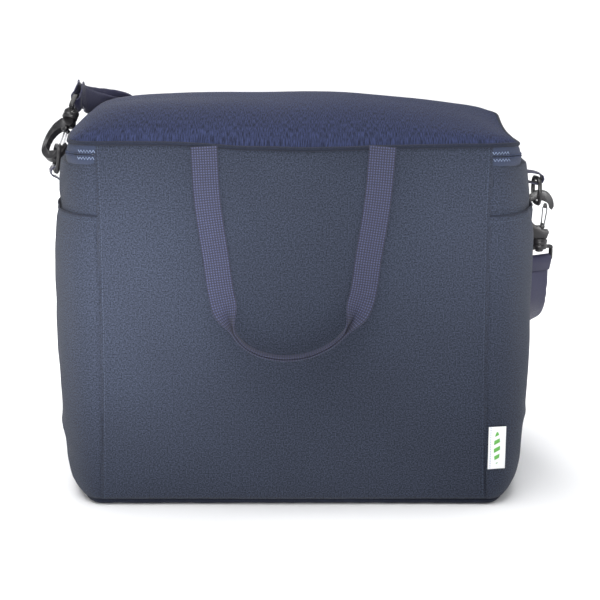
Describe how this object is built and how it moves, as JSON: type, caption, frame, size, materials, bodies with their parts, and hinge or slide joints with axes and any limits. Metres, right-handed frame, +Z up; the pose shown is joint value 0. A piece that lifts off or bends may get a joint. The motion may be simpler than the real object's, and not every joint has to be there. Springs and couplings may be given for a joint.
{
  "type": "insulated cooler bag",
  "caption": "Soft rectangular insulated bag in slate-blue cloth with a padded zip lid, webbing handles and a clip-on shoulder strap.",
  "frame": {"origin": "on the ground under the middle of the bag", "axes": "+X to the bag's right as seen from the front, +Y towards the rear, +Z up"},
  "size_m": [0.5195, 0.3097, 0.391],
  "materials": {
    "outer_cloth": "matte woven polyester",
    "lid_cloth": "matte heather weave",
    "piping_cloth": "corded cloth edging",
    "handle_webbing": "ribbed webbing",
    "strap_webbing": "fine ribbed webbing",
    "zip_tape": "woven tape with nylon coil",
    "foam": "closed-cell foam",
    "liner": "silver laminated film",
    "black_plastic": "satin moulded",
    "board": "smooth sheet",
    "steel_wire": "bright drawn wire",
    "label_cloth": "woven satin label"
  },
  "bodies": {
    "bag": {"front_panel": "outer_cloth", "rear_panel": "outer_cloth", "left_side_panel": "outer_cloth", "right_side_panel": "outer_cloth", "left_side_pocket": "outer_cloth", "right_side_pocket": "outer_cloth", "left_foam": "foam", "right_foam": "foam", "front_foam": "foam", "rear_foam": "foam", "bottom_panel": "outer_cloth", "base_board": "board", "bottom_foam": "foam", "bottom_piping": "piping_cloth", "liner_tub": "liner", "rim_hem": "outer_cloth", "zip_lower_tape": "zip_tape", "zip_lower_coil": "zip_tape", "left_tab_loop": "strap_webbing", "right_tab_loop": "strap_webbing", "side_label": "label_cloth"},
    "lid": {"zip_upper_tape": "zip_tape", "zip_upper_coil": "zip_tape", "lid_piping": "piping_cloth", "lid_liner": "liner", "lid_foam": "foam", "lid_fabric": "lid_cloth"},
    "front_handle": {"front_handle": "handle_webbing"},
    "rear_handle": {"rear_handle": "handle_webbing"},
    "left_slider": {"left_zip_slider": "black_plastic"},
    "right_slider": {"right_zip_slider": "black_plastic"},
    "left_pull": {"left_zip_pull": "black_plastic"},
    "right_pull": {"right_zip_pull": "black_plastic"},
    "shoulder_strap": {"shoulder_strap": "strap_webbing", "strap_return_strand": "strap_webbing", "left_strap_fold": "strap_webbing", "right_strap_fold": "strap_webbing", "left_swivel_base": "black_plastic", "right_swivel_base": "black_plastic", "left_ring": "black_plastic", "right_ring": "black_plastic"},
    "left_hook": {"left_hook": "black_plastic"},
    "right_hook": {"right_hook": "black_plastic"},
    "left_gate": {"left_hook_gate": "steel_wire"},
    "right_gate": {"right_hook_gate": "steel_wire"},
    "adjuster": {"strap_adjuster": "black_plastic", "adjuster_fold": "strap_webbing"}
  },
  "joints": [
    {"name": "lid_hinge", "type": "hinge", "parent": "bag", "child": "lid", "pos_m": [0, -0.12, 0.352], "axis": [-1, 0, 0], "range_deg": [-90, 0]},
    {"name": "front_handle_swing", "type": "hinge", "parent": "bag", "child": "front_handle", "pos_m": [0, -0.1226, 0.3485], "axis": [-1, 0, 0], "range_deg": [0, 130]},
    {"name": "rear_handle_swing", "type": "hinge", "parent": "bag", "child": "rear_handle", "pos_m": [0, 0.1236, 0.329], "axis": [1, 0, 0], "range_deg": [0, 160]},
    {"name": "left_zip_slide", "type": "slide", "parent": "bag", "child": "left_slider", "axis": [-1, 0, 0], "range_m": [0, 0.105]},
    {"name": "right_zip_slide", "type": "slide", "parent": "bag", "child": "right_slider", "axis": [1, 0, 0], "range_m": [0, 0.105]},
    {"name": "left_pull_swing", "type": "hinge", "parent": "left_slider", "child": "left_pull", "pos_m": [-0.014, 0.128, 0.3441], "axis": [1, 0, 0], "range_deg": [0, 150]},
    {"name": "right_pull_swing", "type": "hinge", "parent": "right_slider", "child": "right_pull", "pos_m": [0.014, 0.128, 0.3441], "axis": [1, 0, 0], "range_deg": [0, 150]},
    {"name": "shoulder_strap_swing", "type": "hinge", "parent": "bag", "child": "shoulder_strap", "pos_m": [0, 0.01, 0.303], "axis": [1, 0, 0], "range_deg": [0, 60], "deforming": ["left_tab_loop", "right_tab_loop"]},
    {"name": "left_hook_swivel", "type": "hinge", "parent": "shoulder_strap", "child": "left_hook", "pos_m": [-0.2267, 0.0481, 0.3606], "axis": [-0.2901, -0.6302, -0.7202], "range_deg": [-10, 5]},
    {"name": "left_gate_press", "type": "hinge", "parent": "left_hook", "child": "left_gate", "pos_m": [-0.23103, 0.03392, 0.34559], "axis": [0.3765, 0.6167, -0.6913], "range_deg": [0, 5], "stiffness_Nm_per_rad": 0.02, "deforming": ["left_hook_gate"]},
    {"name": "right_hook_swivel", "type": "hinge", "parent": "shoulder_strap", "child": "right_hook", "pos_m": [0.2495, 0.01, 0.23], "axis": [0, 0, 1], "range_deg": [-10, 30]},
    {"name": "right_gate_press", "type": "hinge", "parent": "right_hook", "child": "right_gate", "pos_m": [0.25149, 0.00976, 0.251], "axis": [-0.1191, -0.9929, 0], "range_deg": [0, 16], "stiffness_Nm_per_rad": 0.02, "deforming": ["right_hook_gate"]},
    {"name": "adjuster_slide", "type": "slide", "parent": "shoulder_strap", "child": "adjuster", "axis": [0, 0, 1], "range_m": [-0.04, 0.02], "deforming": ["strap_return_strand"]}
  ]
}
